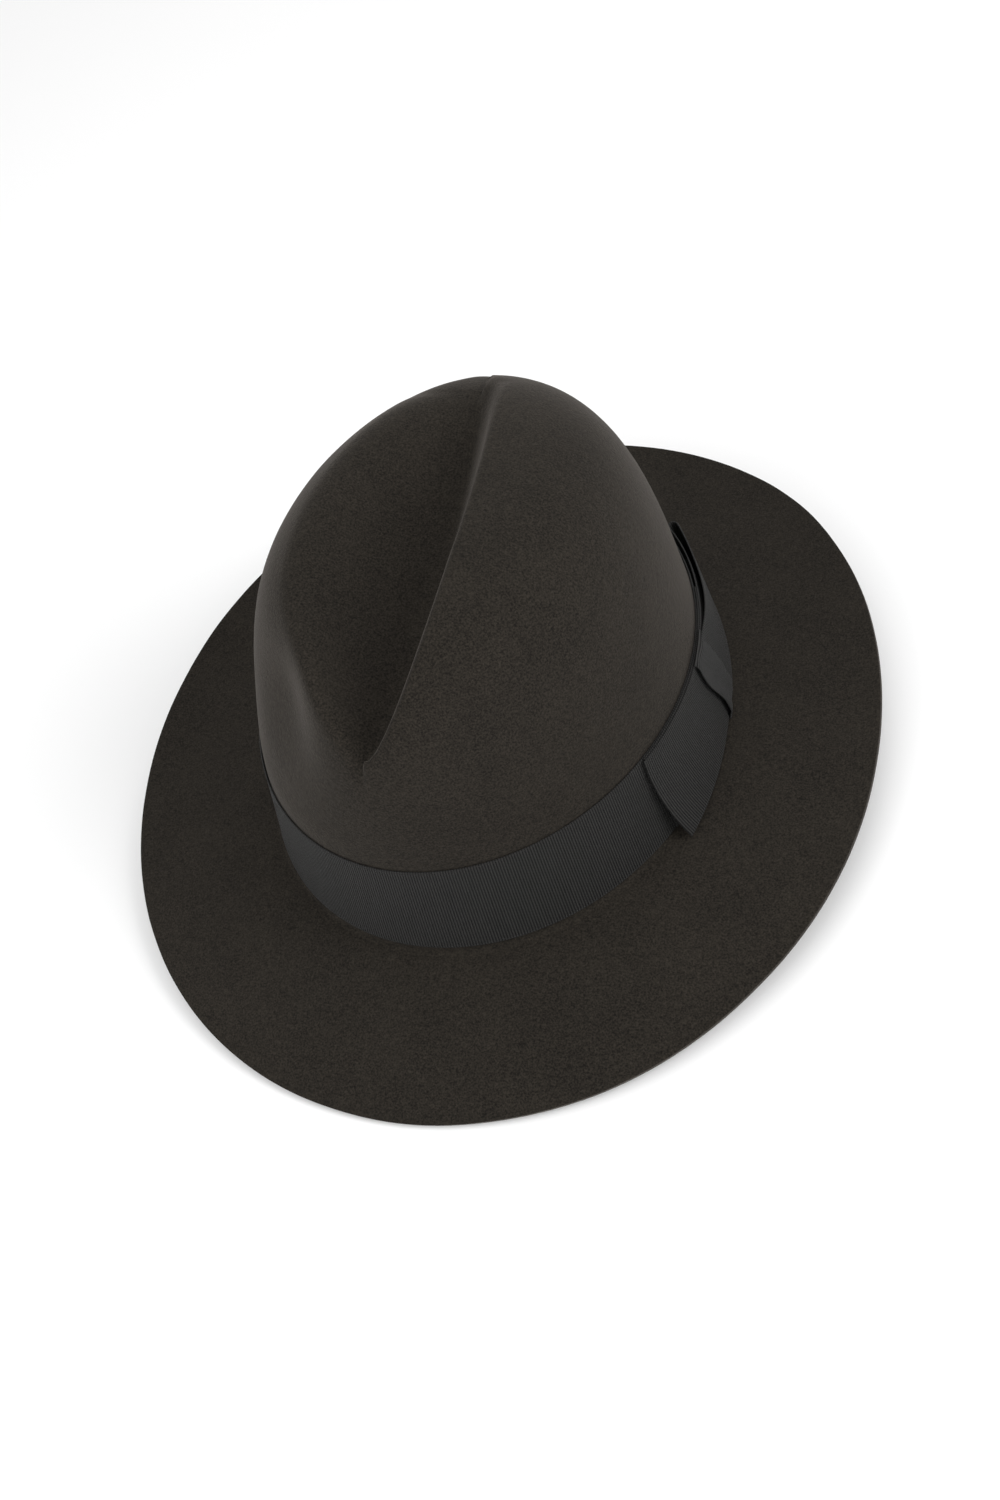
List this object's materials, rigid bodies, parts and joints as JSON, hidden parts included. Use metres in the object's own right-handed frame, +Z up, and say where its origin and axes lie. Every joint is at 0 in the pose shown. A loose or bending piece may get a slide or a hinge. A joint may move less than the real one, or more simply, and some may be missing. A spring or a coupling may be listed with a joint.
{
  "type": "fedora hat",
  "caption": "soft felt hat with a creased crown, front pinch, snap brim, wide grosgrain band with a side bow, leather sweatband and lining",
  "frame": {"origin": "centre of the head opening, in the mean plane where the brim meets the crown", "axes": "+Z up through the crown, -Y to the front of the hat, +X to the wearer's left, where the bow is"},
  "size_m": [0.2948, 0.3298, 0.148],
  "materials": {
    "felt": "dark brown fur felt, fine nap",
    "ribbon": "dark grey grosgrain, fine upright ribs",
    "leather": "brown sheepskin roan",
    "reed": "translucent plastic reed",
    "cloth": "dark cotton tape",
    "thread": "sewing thread",
    "satin": "dark satin",
    "clear": "thin clear plastic"
  },
  "bodies": {
    "root": {"felt_body": "felt", "ribbon_band": "ribbon", "bow_lap": "ribbon", "bow_knot": "ribbon", "bow_front_wing": "ribbon", "bow_rear_loop": "ribbon", "sweatband": "leather", "sweatband_reed": "reed", "reed_welt": "cloth", "sweatband_seam": "thread", "lining_side": "satin", "lining_tip": "satin", "lining_piping": "cloth", "tip_shield": "clear", "sweatband_bow": "cloth"}
  },
  "joints": []
}
